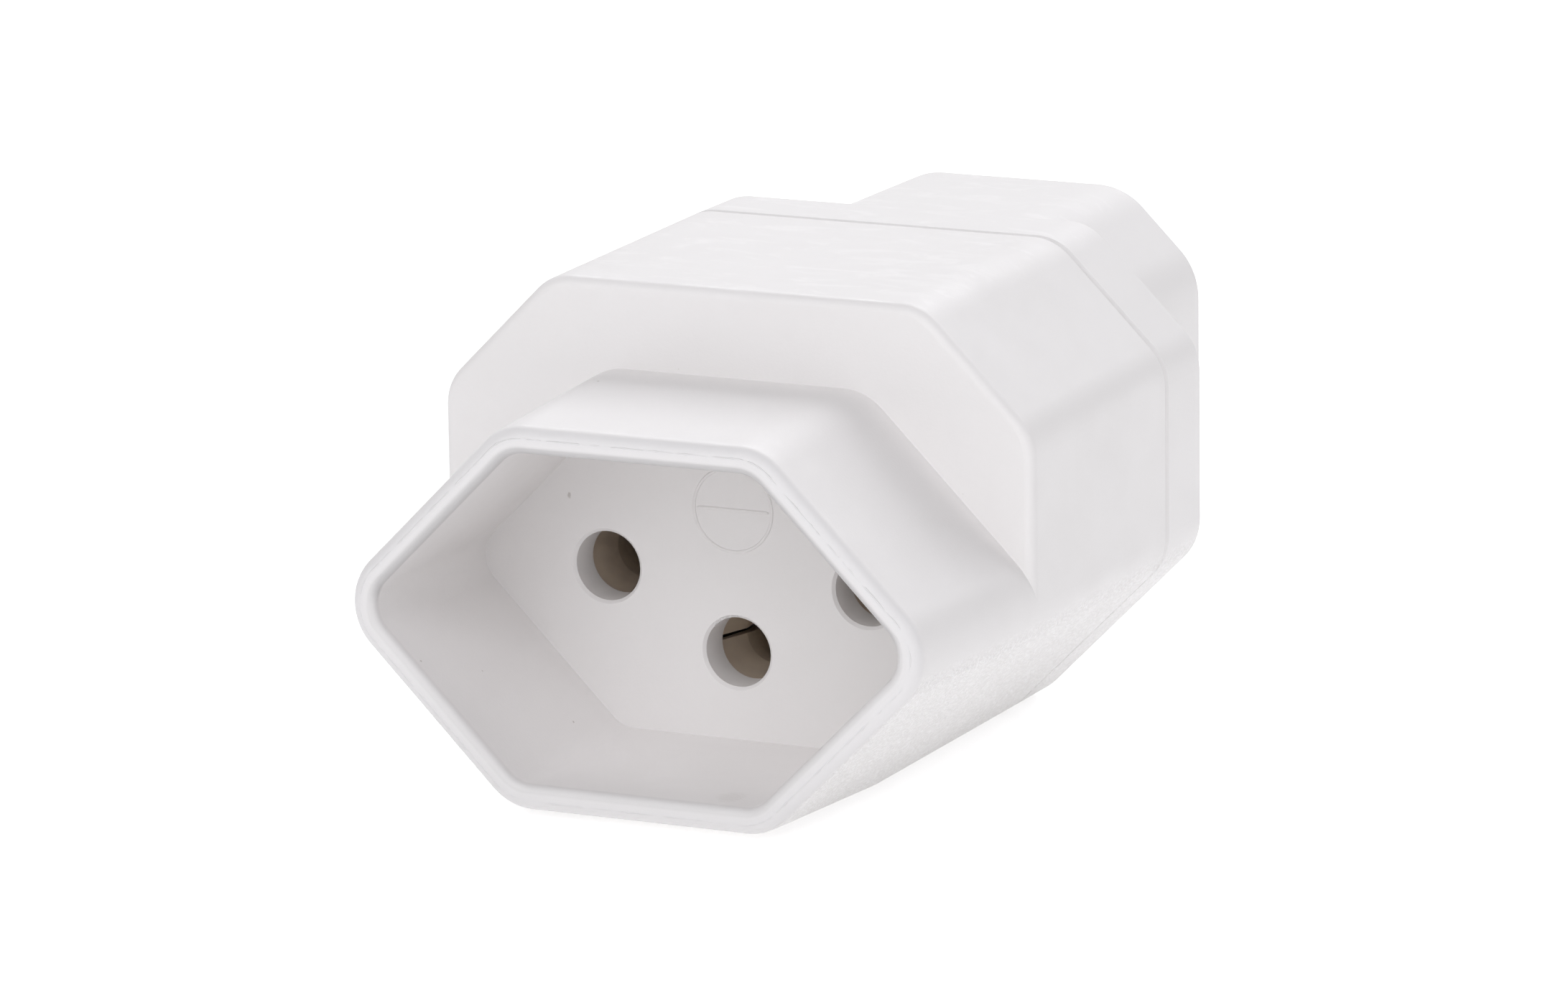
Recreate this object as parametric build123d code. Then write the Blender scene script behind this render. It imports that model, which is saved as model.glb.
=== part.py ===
from build123d import *
import math
import os

# Plug adapter, in millimetres. The round-pin socket with its six-sided collar is at the
# front, towards -Y, and the flat-pin inlet is at the rear, towards +Y. X is to the right
# as seen from the front and Z is up. The origin is at the middle of the underside.

# Lengths along Y, from the front rim to the rear rim
collar_length = 15.5
body_length = 22.0
plate_length = 6.0
shroud_length = 18.5

# Six-sided collar, half sizes between its sharp corners, less on each side at the front rim
collar_base_half_width = 23.1
collar_base_half_height = 13.5
collar_width_taper = 1.0
collar_height_taper = 0.75
collar_corner_radius = 4.0
collar_wall = 1.75
collar_rim_radius = 1.0
collar_mouth_radius = 0.6
recess_draft = 0.1

# Body, whose lower half carries on from the collar
body_joint_height = 33.25
body_height_taper = 0.35
body_top_chamfer = 8.0
body_corner_radius = 3.6
body_edge_radius = 0.7
plate_edge_radius = 0.5
joint_chamfer = 0.3
shell_wall = 2.0
front_wall = 3.0
rear_wall = 2.2

# Spigot of the rear housing, which snaps into the front housing
spigot_length = 3.0
spigot_wall = 1.3
spigot_clearance = 0.1
bead_height = 0.45
bead_width = 1.2
bead_length = 9.0
bead_offset = 1.6

# Round-pin socket
socket_pin_pitch = 19.0
socket_earth_drop = 5.0
socket_pin_radius = 2.0
socket_pin_length = 19.0
guide_hole_radius = 2.36
guide_hole_edge = 0.2

# Flat-pin inlet
inlet_centre_drop = 10.91
inlet_pin_pitch = 14.0
inlet_earth_offset = 4.0
inlet_pin_height = 4.0
inlet_pin_thickness = 2.0
inlet_pin_gap = 1.5
inlet_earth_gap = 1.0
inlet_pin_bevel = 0.6
shroud_root_half_width = 13.6
shroud_rim_half_width = 13.53
shroud_root_half_height = 9.7
shroud_rim_half_height = 9.62
shroud_top_chamfer = 5.6
shroud_upper_radius = 4.8
shroud_lower_radius = 2.8
shroud_wall = 1.35
shroud_edge_radius = 0.35
inlet_depth = 17.5

# Contact carrier
tower_wall = 1.2
chamber_radius = 3.7
carrier_flange = 2.8
carrier_seat_depth = 0.4
web_thickness = 4.0
fit_clearance = 0.15

# Sprung socket contacts
contact_wall = 0.6
contact_pinch_clearance = 0.03
contact_relief = 0.22
contact_mouth_gap = 0.3
contact_mouth_flare = 0.85
contact_mouth_length = 2.8
contact_pinch_length = 1.2
contact_root_length = 2.6
contact_base_thickness = 0.8
contact_base_radius = 4.4
slit_front_width = 0.35
slit_rear_width = 2.4

# Steel clip round each contact
clip_thickness = 0.45
clip_length = 3.2
clip_clearance = 0.04
clip_gap_angle = 34.0

# Rivets, connecting strips and the inner ends of the flat pins
rivet_radius = 0.9
rivet_head_radius = 1.7
rivet_head_height = 0.6
rivet_hole_clearance = 0.05
strip_thickness = 0.8
strip_width = 4.4
shoulder_height = 5.6
shoulder_thickness = 3.4
tenon_height = 2.4
tenon_thickness = 1.2
tenon_head_radius = 1.6
pocket_clearance = 0.2
slot_clearance = 0.05

# Retainer that holds the flat pins in the rear housing
retainer_plate = 2.0
retainer_boss_wall = 1.4

# Places along Y
overall_length = collar_length + body_length + plate_length + shroud_length
front_y = -overall_length / 2
body_y = front_y + collar_length
joint_y = body_y + body_length
plate_y = joint_y + plate_length
rear_y = plate_y + shroud_length
wall_y = body_y + front_wall
seat_y = wall_y - carrier_seat_depth
head_y = body_y + socket_pin_length + pocket_clearance
base_y = head_y + rivet_head_height
strip_y = base_y + contact_base_thickness
retainer_y = strip_y + strip_thickness
inner_rear_y = plate_y - rear_wall
spigot_y = joint_y - spigot_length

# Places across X and Z
body_front_height = body_joint_height - body_height_taper
socket_z = collar_base_half_height
inlet_z = body_joint_height - inlet_centre_drop
body_half_width = collar_base_half_width - (math.sqrt(2) - 1) * collar_corner_radius
body_half_bottom = collar_base_half_width - collar_base_half_height
tower_radius = chamber_radius + tower_wall
spigot_inset = shell_wall + spigot_clearance
inner_inset = spigot_inset + spigot_wall
poles = ("line", "neutral", "earth")
socket_places = {
    "line": (-socket_pin_pitch / 2, socket_z),
    "neutral": (socket_pin_pitch / 2, socket_z),
    "earth": (0, socket_z - socket_earth_drop),
}
inlet_places = {
    "line": (-inlet_pin_pitch / 2, inlet_z - inlet_earth_offset / 2),
    "neutral": (inlet_pin_pitch / 2, inlet_z - inlet_earth_offset / 2),
    "earth": (0, inlet_z + inlet_earth_offset / 2),
}
slit_turn = {"line": 90, "neutral": 90, "earth": 0}


def section(y):
    """The plane across the object at y, with its own x to the right and its own y up."""
    return Plane(origin=(0, y, 0), x_dir=(1, 0, 0), z_dir=(0, -1, 0))


def rounded(corners, radii, y):
    """A face across the object at y, from its sharp corners and the radius at each."""
    return section(y) * make_face(FilletPolyline(*corners, radius=radii, close=True))


def back(face, length):
    """The face drawn out towards the rear."""
    return extrude(face, amount=length, dir=(0, 1, 0))


def disc(place, y, radius, length):
    """A round bar along Y, starting at y."""
    return back(section(y) * Pos(*place) * Circle(radius), length)


def block(place, y, width, height, length):
    """A square-cornered bar along Y, starting at y."""
    return back(section(y) * Pos(*place) * Rectangle(width, height), length)


def edges_at(shape, y):
    """The edges of a shape that lie in the plane across the object at y."""
    return shape.edges().filter_by_position(Axis.Y, y - 0.001, y + 0.001)


def hexagon(half_width, half_height, y):
    """The six-sided outline of the collar, whose slanted sides are at 45 degrees."""
    flat = half_width - half_height
    corners = [
        (-half_width, socket_z),
        (-flat, socket_z + half_height),
        (flat, socket_z + half_height),
        (half_width, socket_z),
        (flat, socket_z - half_height),
        (-flat, socket_z - half_height),
    ]
    return rounded(corners, [collar_corner_radius] * len(corners), y)


def body_outline(y, height):
    """The eight-sided outline of the body, whose lower half is the collar's."""
    side = body_half_width
    bottom = body_half_bottom
    top = side - body_top_chamfer
    corners = [
        (-bottom, 0),
        (-side, side - bottom),
        (-side, height - body_top_chamfer),
        (-top, height),
        (top, height),
        (side, height - body_top_chamfer),
        (side, side - bottom),
        (bottom, 0),
    ]
    lower = [collar_corner_radius] * 2
    upper = [body_corner_radius] * 4
    return rounded(corners, lower + upper + lower, y)


def height_at(y):
    """The body's height at y, between its front face and the joint."""
    return body_front_height + body_height_taper * (y - body_y) / body_length


def inner_outline(y, inset):
    """The body's outline at y, moved in by a wall."""
    return offset(body_outline(y, height_at(y)), amount=-inset)


def shroud_outline(half_width, half_height, y):
    """The outline of the inlet's shroud, with its two upper corners cut off."""
    top = inlet_z + half_height
    bottom = inlet_z - half_height
    corners = [
        (-half_width, bottom),
        (-half_width, top - shroud_top_chamfer),
        (-half_width + shroud_top_chamfer, top),
        (half_width - shroud_top_chamfer, top),
        (half_width, top - shroud_top_chamfer),
        (half_width, bottom),
    ]
    lower = [shroud_lower_radius]
    upper = [shroud_upper_radius] * 4
    return rounded(corners, lower + upper + lower, y)


def snap_beads(inset, growth):
    """The four snap beads at the spigot, or with growth the grooves that take them."""
    y = spigot_y + bead_offset
    reach = bead_height + growth
    width = bead_width + 2 * growth
    length = bead_length + 2 * growth
    side_x = body_half_width - inset
    top_z = height_at(spigot_y) - inset
    middle_z = (body_half_width - body_half_bottom + height_at(spigot_y) - body_top_chamfer) / 2
    sunk = spigot_wall / 2
    beads = Part()
    for sign in (-1, 1):
        side = Box(sunk + reach, width, length)
        beads += Pos(sign * (side_x + (reach - sunk) / 2), y, middle_z) * side
    for z, sign in ((inset, -1), (top_z, 1)):
        flat = Box(length, width, sunk + reach)
        beads += Pos(0, y, z + sign * (reach - sunk) / 2) * flat
    return beads


def towers(growth, y, length):
    """The three joined towers that stand round the contacts, or with growth the seat that takes them."""
    shape = Part()
    for pole in poles:
        shape += disc(socket_places[pole], y, tower_radius + growth, length)
    for pole in ("line", "neutral"):
        start = Vector(*socket_places[pole])
        end = Vector(*socket_places["earth"])
        middle = (start + end) / 2
        angle = math.degrees(math.atan2(end.Y - start.Y, end.X - start.X))
        bar = Rectangle((end - start).length, web_thickness + 2 * growth)
        web = Pos(middle.X, middle.Y) * Rot(0, 0, angle) * bar
        shape += back(section(y) * web, length)
    return shape


def guide_hole(place):
    """The bore of one guide hole, opened out at its front edge."""
    wide = section(body_y) * Pos(*place) * Circle(guide_hole_radius + guide_hole_edge)
    narrow = section(body_y + guide_hole_edge) * Pos(*place) * Circle(guide_hole_radius)
    return disc(place, body_y, guide_hole_radius, front_wall) + loft([wide, narrow])


def make_front_housing():
    """The collar, the recess floor with its guide holes and the body shell, in one moulding."""
    base = hexagon(collar_base_half_width, collar_base_half_height, body_y)
    rim_half_width = collar_base_half_width - collar_width_taper
    rim_half_height = collar_base_half_height - collar_height_taper
    rim = hexagon(rim_half_width, rim_half_height, front_y)
    collar = loft([rim, base], ruled=True)
    collar = fillet(edges_at(collar, front_y), collar_rim_radius)
    mouth = offset(rim, amount=-collar_wall)
    floor = Pos(0, collar_length, 0) * offset(mouth, amount=-recess_draft)
    collar -= loft([mouth, floor], ruled=True)
    front = collar.faces().filter_by_position(Axis.Y, front_y - 0.001, front_y + 0.001)[0]
    collar = fillet(front.inner_wires().edges(), collar_mouth_radius)
    joint = body_outline(joint_y, body_joint_height)
    body = loft([body_outline(body_y, body_front_height), joint], ruled=True)
    body = fillet(edges_at(body, body_y), body_edge_radius)
    body = chamfer(edges_at(body, joint_y), joint_chamfer)
    housing = collar + back(base, front_wall / 2) + body
    housing -= loft([inner_outline(wall_y, shell_wall), inner_outline(joint_y, shell_wall)], ruled=True)
    housing -= towers(fit_clearance, seat_y, carrier_seat_depth + front_wall)
    housing -= snap_beads(spigot_inset, spigot_clearance)
    for place in socket_places.values():
        housing -= guide_hole(place)
    return housing


def make_rear_housing():
    """The rear plate, the inlet's shroud and the spigot that snaps into the front housing."""
    plate = back(body_outline(joint_y, body_joint_height), plate_length)
    plate = fillet(edges_at(plate, plate_y), plate_edge_radius)
    plate = chamfer(edges_at(plate, joint_y), joint_chamfer)
    root = shroud_outline(shroud_root_half_width, shroud_root_half_height, plate_y)
    rim = shroud_outline(shroud_rim_half_width, shroud_rim_half_height, rear_y)
    shroud = loft([root, rim], ruled=True) + back(root, -rear_wall / 2)
    spigot = back(inner_outline(spigot_y, spigot_inset), spigot_length + rear_wall)
    housing = plate + shroud + spigot + snap_beads(spigot_inset, 0)
    housing -= back(inner_outline(spigot_y, inner_inset), inner_rear_y - spigot_y)
    mouth = offset(rim, amount=-shroud_wall)
    housing -= back(mouth, -inlet_depth)
    housing = fillet(edges_at(housing, rear_y), shroud_edge_radius)
    for place in inlet_places.values():
        width = inlet_pin_thickness + 2 * slot_clearance
        height = inlet_pin_height + 2 * slot_clearance
        housing -= block(place, inner_rear_y - rear_wall, width, height, 3 * rear_wall)
    return housing


def make_contact_carrier():
    """The inner moulding with a chamber for each contact and a flange at the rear."""
    carrier = towers(0, seat_y, strip_y - seat_y)
    flange = inner_outline(spigot_y, inner_inset + fit_clearance)
    carrier += Pos(0, strip_y - carrier_flange - spigot_y, 0) * back(flange, carrier_flange)
    for place in socket_places.values():
        carrier -= disc(place, seat_y, chamber_radius, base_y - seat_y)
        carrier -= disc(place, base_y, contact_base_radius + slot_clearance, contact_base_thickness)
    for place in inlet_places.values():
        depth = rivet_head_height + pocket_clearance
        carrier -= disc(place, strip_y - depth, tenon_head_radius + pocket_clearance, depth)
    return carrier


def make_contact(pole):
    """A sprung brass sleeve: two leaves pinch the round pin, and a flange seats in the carrier."""
    mouth_y = seat_y + contact_mouth_gap
    pinch_y = mouth_y + contact_mouth_length
    relief_y = pinch_y + 2 * contact_pinch_length
    pinch = socket_pin_radius + contact_pinch_clearance
    relief = pinch + contact_relief
    mouth = pinch + contact_mouth_flare
    inner = [
        (mouth, mouth_y),
        (pinch, pinch_y),
        (pinch, pinch_y + contact_pinch_length),
        (relief, relief_y),
        (relief, base_y),
        (rivet_radius + rivet_hole_clearance, base_y),
        (rivet_radius + rivet_hole_clearance, strip_y),
    ]
    outer = [
        (contact_base_radius, strip_y),
        (contact_base_radius, base_y),
        (relief + contact_wall, base_y),
        (relief + contact_wall, relief_y),
        (pinch + contact_wall, pinch_y + contact_pinch_length),
        (pinch + contact_wall, pinch_y),
        (mouth + contact_wall / 2, mouth_y),
    ]
    contact = revolve(make_face(Polyline(*inner, *outer, close=True)), Axis.Y)
    root_y = base_y - contact_root_length
    slit = [
        (mouth_y, -slit_front_width / 2),
        (pinch_y, -slit_front_width / 2),
        (root_y, -slit_rear_width / 2),
        (root_y, slit_rear_width / 2),
        (pinch_y, slit_front_width / 2),
        (mouth_y, slit_front_width / 2),
    ]
    wedge = Plane.YZ * make_face(Polyline(*slit, close=True))
    contact -= Rot(0, slit_turn[pole], 0) * extrude(wedge, amount=contact_base_radius, both=True)
    x, z = socket_places[pole]
    return Pos(x, 0, z) * contact


def make_contact_clip(pole):
    """The open steel ring that backs up a contact's leaves."""
    inner = socket_pin_radius + contact_pinch_clearance + contact_relief + contact_wall + clip_clearance
    clip_y = seat_y + contact_mouth_gap + contact_mouth_length + 2 * contact_pinch_length + clip_clearance
    outer = inner + clip_thickness
    clip = back(section(clip_y) * (Circle(outer) - Circle(inner)), clip_length)
    far = 2 * outer
    half_gap = far * math.tan(math.radians(clip_gap_angle / 2))
    gap = make_face(Polyline((0, 0), (far, half_gap), (far, -half_gap), close=True))
    clip -= Rot(0, slit_turn[pole] - 90, 0) * back(section(clip_y) * gap, clip_length)
    x, z = socket_places[pole]
    return Pos(x, 0, z) * clip


def make_strip(pole):
    """The flat strip that joins a contact to its flat pin."""
    start = Vector(*socket_places[pole])
    end = Vector(*inlet_places[pole])
    middle = (start + end) / 2
    angle = math.degrees(math.atan2(end.Y - start.Y, end.X - start.X))
    length = (end - start).length + strip_width
    shape = Pos(middle.X, middle.Y) * Rot(0, 0, angle) * SlotOverall(length, strip_width)
    shape -= Pos(start.X, start.Y) * Circle(rivet_radius + rivet_hole_clearance)
    tenon = Rectangle(tenon_thickness + 2 * slot_clearance, tenon_height + 2 * slot_clearance)
    shape -= Pos(end.X, end.Y) * tenon
    return back(section(strip_y) * shape, strip_thickness)


def make_pin(pole):
    """A flat pin: its blade, its shoulder and its tenon peened over the strip."""
    place = inlet_places[pole]
    gap = inlet_earth_gap if pole == "earth" else inlet_pin_gap
    tip_y = rear_y - gap
    blade = block(place, inner_rear_y, inlet_pin_thickness, inlet_pin_height, tip_y - inner_rear_y)
    blade = chamfer(edges_at(blade, tip_y), inlet_pin_bevel)
    pin = blade + block(place, retainer_y, shoulder_thickness, shoulder_height, inner_rear_y - retainer_y)
    pin += block(place, strip_y, tenon_thickness, tenon_height, strip_thickness)
    pin += disc(place, strip_y - rivet_head_height, tenon_head_radius, rivet_head_height)
    return pin


def make_pin_retainer():
    """The inner plate that holds the flat pins against the rear wall."""
    outline = inner_outline(spigot_y, inner_inset + fit_clearance)
    retainer = Pos(0, retainer_y - spigot_y, 0) * back(outline, retainer_plate)
    for place in inlet_places.values():
        width = shoulder_thickness + 2 * (slot_clearance + retainer_boss_wall)
        height = shoulder_height + 2 * (slot_clearance + retainer_boss_wall)
        retainer += block(place, retainer_y, width, height, inner_rear_y - retainer_y)
    for place in inlet_places.values():
        width = shoulder_thickness + 2 * slot_clearance
        height = shoulder_height + 2 * slot_clearance
        retainer -= block(place, retainer_y, width, height, inner_rear_y - retainer_y)
    for place in socket_places.values():
        depth = rivet_head_height + pocket_clearance
        retainer -= disc(place, retainer_y, rivet_head_radius + pocket_clearance, depth)
    return retainer


def make_contact_rivets():
    """The three like rivets that fix the contacts to their strips, each its own solid."""
    rivets = []
    for place in socket_places.values():
        rivet = disc(place, head_y, rivet_head_radius, rivet_head_height)
        rivet += disc(place, base_y, rivet_radius, retainer_y - base_y)
        rivet += disc(place, retainer_y, rivet_head_radius, rivet_head_height)
        rivets.append(rivet)
    return Compound(children=rivets)


pieces = {
    "front_housing": make_front_housing(),
    "rear_housing": make_rear_housing(),
    "contact_carrier": make_contact_carrier(),
    "pin_retainer": make_pin_retainer(),
    "contact_rivets": make_contact_rivets(),
}
for pole in poles:
    pieces[f"{pole}_contact"] = make_contact(pole)
    pieces[f"{pole}_contact_clip"] = make_contact_clip(pole)
    pieces[f"{pole}_strip"] = make_strip(pole)
    pieces[f"{pole}_pin"] = make_pin(pole)

os.makedirs("parts", exist_ok=True)
for name, piece in pieces.items():
    export_step(piece, f"parts/{name}.step")
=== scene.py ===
import logging
import math
from dataclasses import dataclass, field
from enum import Enum
from typing import Optional, Union

import bpy
from mathutils import Matrix, Vector, noise


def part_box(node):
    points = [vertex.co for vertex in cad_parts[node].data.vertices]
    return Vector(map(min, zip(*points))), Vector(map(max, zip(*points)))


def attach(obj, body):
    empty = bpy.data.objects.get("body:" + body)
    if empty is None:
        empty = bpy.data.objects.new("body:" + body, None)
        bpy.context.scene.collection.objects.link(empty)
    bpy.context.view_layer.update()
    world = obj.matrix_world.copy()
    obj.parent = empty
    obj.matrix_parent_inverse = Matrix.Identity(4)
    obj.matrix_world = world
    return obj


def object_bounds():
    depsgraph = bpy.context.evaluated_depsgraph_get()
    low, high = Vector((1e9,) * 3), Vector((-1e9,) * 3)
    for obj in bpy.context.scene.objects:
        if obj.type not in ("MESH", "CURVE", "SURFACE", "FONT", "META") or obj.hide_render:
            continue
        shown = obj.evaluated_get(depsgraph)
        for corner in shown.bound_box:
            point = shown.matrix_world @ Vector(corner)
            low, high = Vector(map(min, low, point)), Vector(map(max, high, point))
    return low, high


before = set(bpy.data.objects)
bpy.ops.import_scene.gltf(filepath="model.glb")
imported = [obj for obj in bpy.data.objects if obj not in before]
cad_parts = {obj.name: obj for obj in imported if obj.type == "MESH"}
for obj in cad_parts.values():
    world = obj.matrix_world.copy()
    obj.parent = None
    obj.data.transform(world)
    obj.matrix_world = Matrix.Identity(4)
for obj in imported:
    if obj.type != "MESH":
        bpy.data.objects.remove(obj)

Socket = bpy.types.NodeSocket
SocketOrNumber = Union[Socket, float]

CAD_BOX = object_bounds()
MM = 0.001
JOINT_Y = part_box("front_housing")[1].y
SOCKET_HEIGHT = 13.5
SOCKET_AXIS = (0.0, 0.0, SOCKET_HEIGHT * MM)
log = logging.getLogger("plug_adapter")


class Pole(Enum):
    """The three poles of the adapter, by the names of their pieces."""

    LINE = "line"
    NEUTRAL = "neutral"
    EARTH = "earth"


class Flow(Enum):
    """The way along which a surface's marks are drawn out."""

    NONE = (1.0, 1.0, 1.0)
    UPRIGHT = (0.35, 0.35, 1.0)


class Net:
    """A node tree with short calls to add and join its nodes."""

    def __init__(self, tree: bpy.types.NodeTree) -> None:
        """Keeps the tree.

        Args:
            tree: the node tree of a material, a world or a group.
        """
        self.tree = tree

    def add(self, kind: str, **settings: object) -> bpy.types.Node:
        """Adds one node.

        Args:
            kind: the node's type name, without the ShaderNode in front.
            settings: properties to set, or in values= a dictionary of input values.

        Returns:
            The new node.
        """
        node = self.tree.nodes.new("ShaderNode" + kind)
        values = settings.pop("values", {})
        for name, value in settings.items():
            setattr(node, name, value)
        for name, value in values.items():
            node.inputs[name].default_value = value
        return node

    def join(self, source: Socket, target: Socket) -> None:
        """Joins an output socket to an input socket."""
        self.tree.links.new(source, target)

    def math(self, operation: str, a: SocketOrNumber, b: Optional[SocketOrNumber] = None) -> Socket:
        """Adds a Math node.

        Args:
            operation: the node's operation.
            a: a socket or a number.
            b: a socket, a number or nothing.

        Returns:
            The node's output socket.
        """
        node = self.add("Math", operation=operation)
        for place, value in enumerate((a, b)):
            if value is None:
                continue
            if isinstance(value, Socket):
                self.join(value, node.inputs[place])
            else:
                node.inputs[place].default_value = value
        return node.outputs[0]

    def spread(self, value: Socket, low: float, high: float,
               to_low: float = 0.0, to_high: float = 1.0) -> Socket:
        """Maps a value from one range to another, held at its ends.

        Args:
            value: the socket that is mapped.
            low: the value that gives to_low.
            high: the value that gives to_high.
            to_low: the result at low.
            to_high: the result at high.

        Returns:
            The mapped socket.
        """
        node = self.add("MapRange", clamp=True)
        self.join(value, node.inputs["Value"])
        ends = {"From Min": low, "From Max": high, "To Min": to_low, "To Max": to_high}
        for name, number in ends.items():
            node.inputs[name].default_value = number
        return node.outputs["Result"]

    def place(self) -> Socket:
        """The place on the piece that is shaded, in its own metres."""
        return self.add("TexCoord").outputs["Object"]

    def normal(self) -> Socket:
        """The direction that the surface faces."""
        return self.add("NewGeometry").outputs["Normal"]

    def vector(self, operation: str, a: Socket,
               b: Union[Socket, tuple, None] = None) -> bpy.types.Node:
        """Adds a Vector Math node.

        Args:
            operation: the node's operation.
            a: a socket.
            b: a socket, three numbers or nothing.

        Returns:
            The node.
        """
        node = self.add("VectorMath", operation=operation)
        self.join(a, node.inputs[0])
        if isinstance(b, Socket):
            self.join(b, node.inputs[1])
        elif b is not None:
            node.inputs[1].default_value = b
        return node

    def part(self, value: Socket, name: str) -> Socket:
        """Takes one of a vector's three numbers.

        Args:
            value: the vector's socket.
            name: X, Y or Z.

        Returns:
            The number's socket.
        """
        node = self.add("SeparateXYZ")
        self.join(value, node.inputs[0])
        return node.outputs[name]

    def noise(self, place: Socket, scale: SocketOrNumber, **values: float) -> Socket:
        """Adds a noise texture.

        Args:
            place: the socket with the place.
            scale: a socket or a number, in noise waves to the metre.
            values: the texture's other input values.

        Returns:
            The texture's value, about 0.5 on average.
        """
        node = self.add("TexNoise", values=values)
        self.join(place, node.inputs["Vector"])
        if isinstance(scale, Socket):
            self.join(scale, node.inputs["Scale"])
        else:
            node.inputs["Scale"].default_value = scale
        return node.outputs[0]


def new_group(name: str, inputs: dict, outputs: dict) -> tuple:
    """Makes an empty shader node group.

    Args:
        name: the group's name.
        inputs: socket names with their types and starting values.
        outputs: socket names with their types.

    Returns:
        The group's tree, its Net, its input node and its output node.
    """
    tree = bpy.data.node_groups.new(name, "ShaderNodeTree")
    for socket, (kind, value) in inputs.items():
        kind = "NodeSocket" + kind
        made = tree.interface.new_socket(name=socket, in_out="INPUT", socket_type=kind)
        made.default_value = value
    for socket, kind in outputs.items():
        kind = "NodeSocket" + kind
        tree.interface.new_socket(name=socket, in_out="OUTPUT", socket_type=kind)
    net = Net(tree)
    entry = tree.nodes.new("NodeGroupInput")
    leave = tree.nodes.new("NodeGroupOutput")
    return tree, net, entry, leave


class Effects:
    """The surface effects that several finishes share, each one node group."""

    def __init__(self) -> None:
        """Builds the groups once."""
        self.grain = self.build_grain()
        self.flow = self.build_flow()
        self.specks = self.build_specks()
        self.spot = self.build_spot()
        self.streaks = self.build_streaks()
        self.joint = self.build_joint()
        self.rim = self.build_rim()
        self.lines = self.build_lines()

    def build_grain(self) -> bpy.types.NodeTree:
        """Makes the fine spark-eroded grain of a mould: a height, and a sparkle mask that lowers
        roughness and marks where lighter glints are painted.

        Returns:
            The group.
        """
        sparkling = (0.48, 0.60)
        tree, net, entry, leave = new_group(
            "mould_grain",
            {"Size": ("Float", 0.25 * MM)},
            {"Height": "Float", "Sparkle": "Float"},
        )
        scale = net.math("DIVIDE", 1.0, entry.outputs["Size"])
        grain = net.noise(net.place(), scale, Detail=2.0, Roughness=0.7)
        net.join(grain, leave.inputs["Height"])
        net.join(net.spread(grain, *sparkling), leave.inputs["Sparkle"])
        return tree

    def build_flow(self) -> bpy.types.NodeTree:
        """Makes the broad unevenness of moulded plastic: a height, and patches of gloss and tone.

        Returns:
            The group.
        """
        patches = {
            "Height": (1.0, {"Detail": 2.0, "Distortion": 0.3}),
            "Gloss": (1.7, {"Detail": 4.0, "Distortion": 0.8}),
            "Tone": (0.6, {"Detail": 3.0, "Distortion": 0.5}),
        }
        noise_reach = (0.3, 0.7)
        tree, net, entry, leave = new_group(
            "moulding_flow",
            {"Size": ("Float", 6.0 * MM), "Stretch": ("Vector", (1.0, 1.0, 1.0))},
            {"Height": "Float", "Gloss": "Float", "Tone": "Float"},
        )
        drawn = net.vector("MULTIPLY", net.place(), entry.outputs["Stretch"]).outputs[0]
        scale = net.math("DIVIDE", 1.0, entry.outputs["Size"])
        for socket, (fineness, values) in patches.items():
            patch = net.noise(drawn, net.math("MULTIPLY", scale, fineness), **values)
            net.join(net.spread(patch, *noise_reach), leave.inputs[socket])
        return tree

    def build_specks(self) -> bpy.types.NodeTree:
        """Makes a scatter of tiny round marks, some darker than others: a mask.

        Returns:
            The group.
        """
        soft_edge = 0.6
        faintest = 0.3
        tree, net, entry, leave = new_group(
            "moulding_specks",
            {"Spacing": ("Float", 5.0 * MM), "Radius": ("Float", 0.12 * MM),
             "Share": ("Float", 0.3)},
            {"Mask": "Float"},
        )
        cells = net.add("TexVoronoi")
        net.join(net.place(), cells.inputs["Vector"])
        net.join(net.math("DIVIDE", 1.0, entry.outputs["Spacing"]), cells.inputs["Scale"])
        away = net.math("MULTIPLY", cells.outputs["Distance"], entry.outputs["Spacing"])
        near = net.math("SUBTRACT", 1.0, net.math("DIVIDE", away, entry.outputs["Radius"]))
        chance = net.add("SeparateColor")
        net.join(cells.outputs["Color"], chance.inputs[0])
        chosen = net.math("LESS_THAN", chance.outputs[0], entry.outputs["Share"])
        depth = net.spread(chance.outputs[1], 0.0, 1.0, faintest, 1.0)
        depth = net.math("MULTIPLY", chosen, depth)
        speck = net.math("MULTIPLY", net.spread(near, 0.0, soft_edge), depth)
        net.join(speck, leave.inputs["Mask"])
        return tree

    def build_spot(self) -> bpy.types.NodeTree:
        """Makes one soft uneven spot at a place on the surface: a mask.

        Returns:
            The group.
        """
        noise_reach = (0.3, 0.7)
        raggedness = 0.25
        soft_edge = (0.45, 1.0)
        tree, net, entry, leave = new_group(
            "surface_spot",
            {"Centre": ("Vector", (0.0, 0.0, 0.0)), "Radius": ("Float", 0.3 * MM),
             "Stretch": ("Vector", (1.0, 1.0, 1.0)), "Ragged": ("Float", 0.5)},
            {"Mask": "Float"},
        )
        offset = net.vector("SUBTRACT", net.place(), entry.outputs["Centre"]).outputs[0]
        drawn = net.vector("MULTIPLY", offset, entry.outputs["Stretch"]).outputs[0]
        away = net.vector("LENGTH", drawn).outputs["Value"]
        share = net.math("DIVIDE", away, entry.outputs["Radius"])
        ragged = net.spread(entry.outputs["Ragged"], *noise_reach, -raggedness, raggedness)
        share = net.math("ADD", share, ragged)
        net.join(net.spread(share, *soft_edge, 1.0, 0.0), leave.inputs["Mask"])
        return tree

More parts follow.
